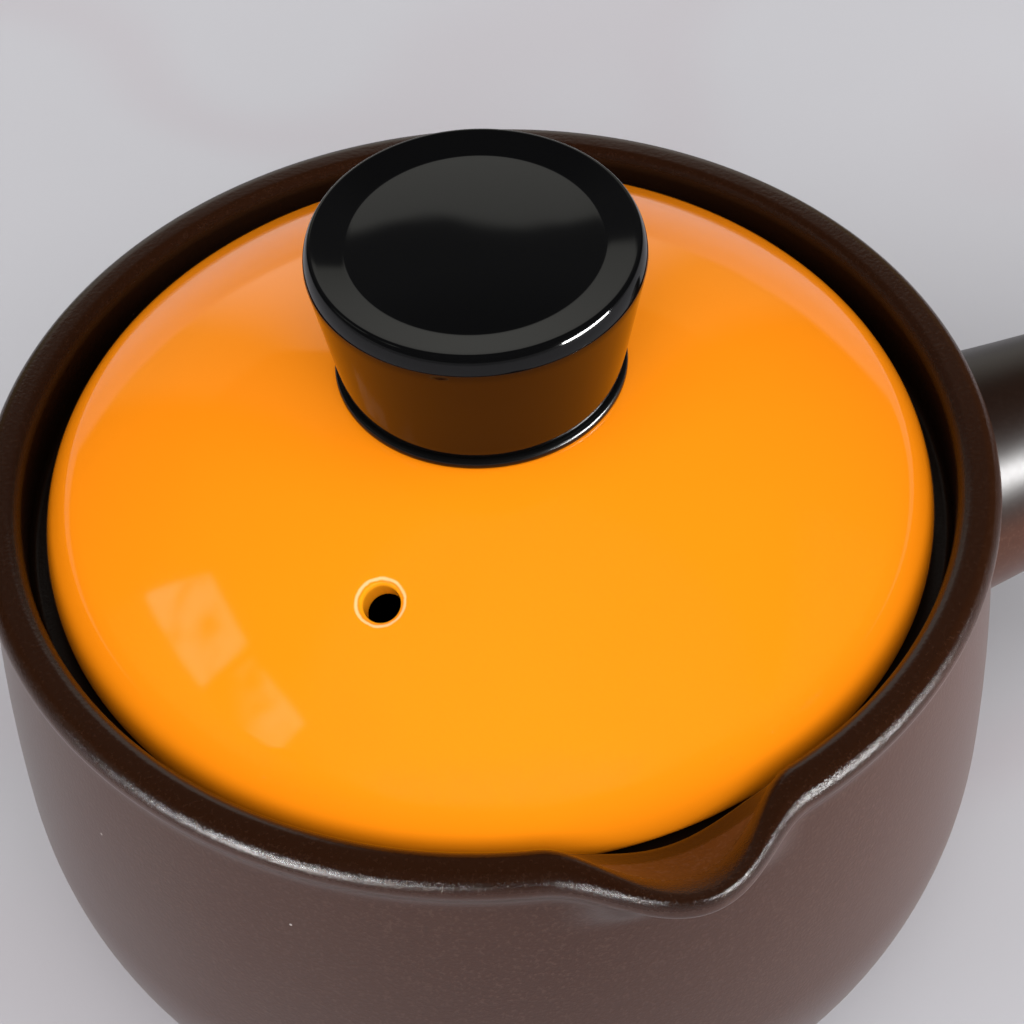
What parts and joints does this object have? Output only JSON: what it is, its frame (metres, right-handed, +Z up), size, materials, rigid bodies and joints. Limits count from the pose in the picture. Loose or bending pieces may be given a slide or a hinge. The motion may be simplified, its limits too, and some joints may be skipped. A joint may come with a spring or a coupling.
{
  "type": "ceramic saucepan",
  "caption": "Deep ceramic saucepan with a hollow side handle, a pouring spout and a loose domed lid with a steam vent and a screwed-on knob.",
  "frame": {"origin": "centre of the flat foot, on the table", "axes": "+Z up along the pot's axis, +X along the handle, -Y towards the spout"},
  "size_m": [0.2741, 0.1695, 0.1444],
  "materials": {
    "brown_clay": "satin dark brown glaze",
    "orange_glaze": "glossy orange glaze",
    "black_plastic": "polished black",
    "insert_brass": "turned",
    "screw_steel": "plain stainless",
    "gasket_silicone": "matt"
  },
  "bodies": {
    "pot": {"pot_body": "brown_clay", "handle": "brown_clay"},
    "seat_ring": {"knob_seat_ring": "black_plastic"},
    "lid": {"lid": "orange_glaze", "knob": "black_plastic", "knob_insert": "insert_brass", "knob_screw": "screw_steel", "screw_washer": "screw_steel", "screw_gasket": "gasket_silicone"}
  },
  "joints": [
    {"name": "lid_lift", "type": "slide", "parent": "pot", "child": "seat_ring", "axis": [0, 0, 1], "range_m": [0, 0.12]},
    {"name": "lid_turn", "type": "hinge", "parent": "seat_ring", "child": "lid", "pos_m": [0, 0, 0.12], "axis": [0, 0, 1], "continuous": true}
  ]
}
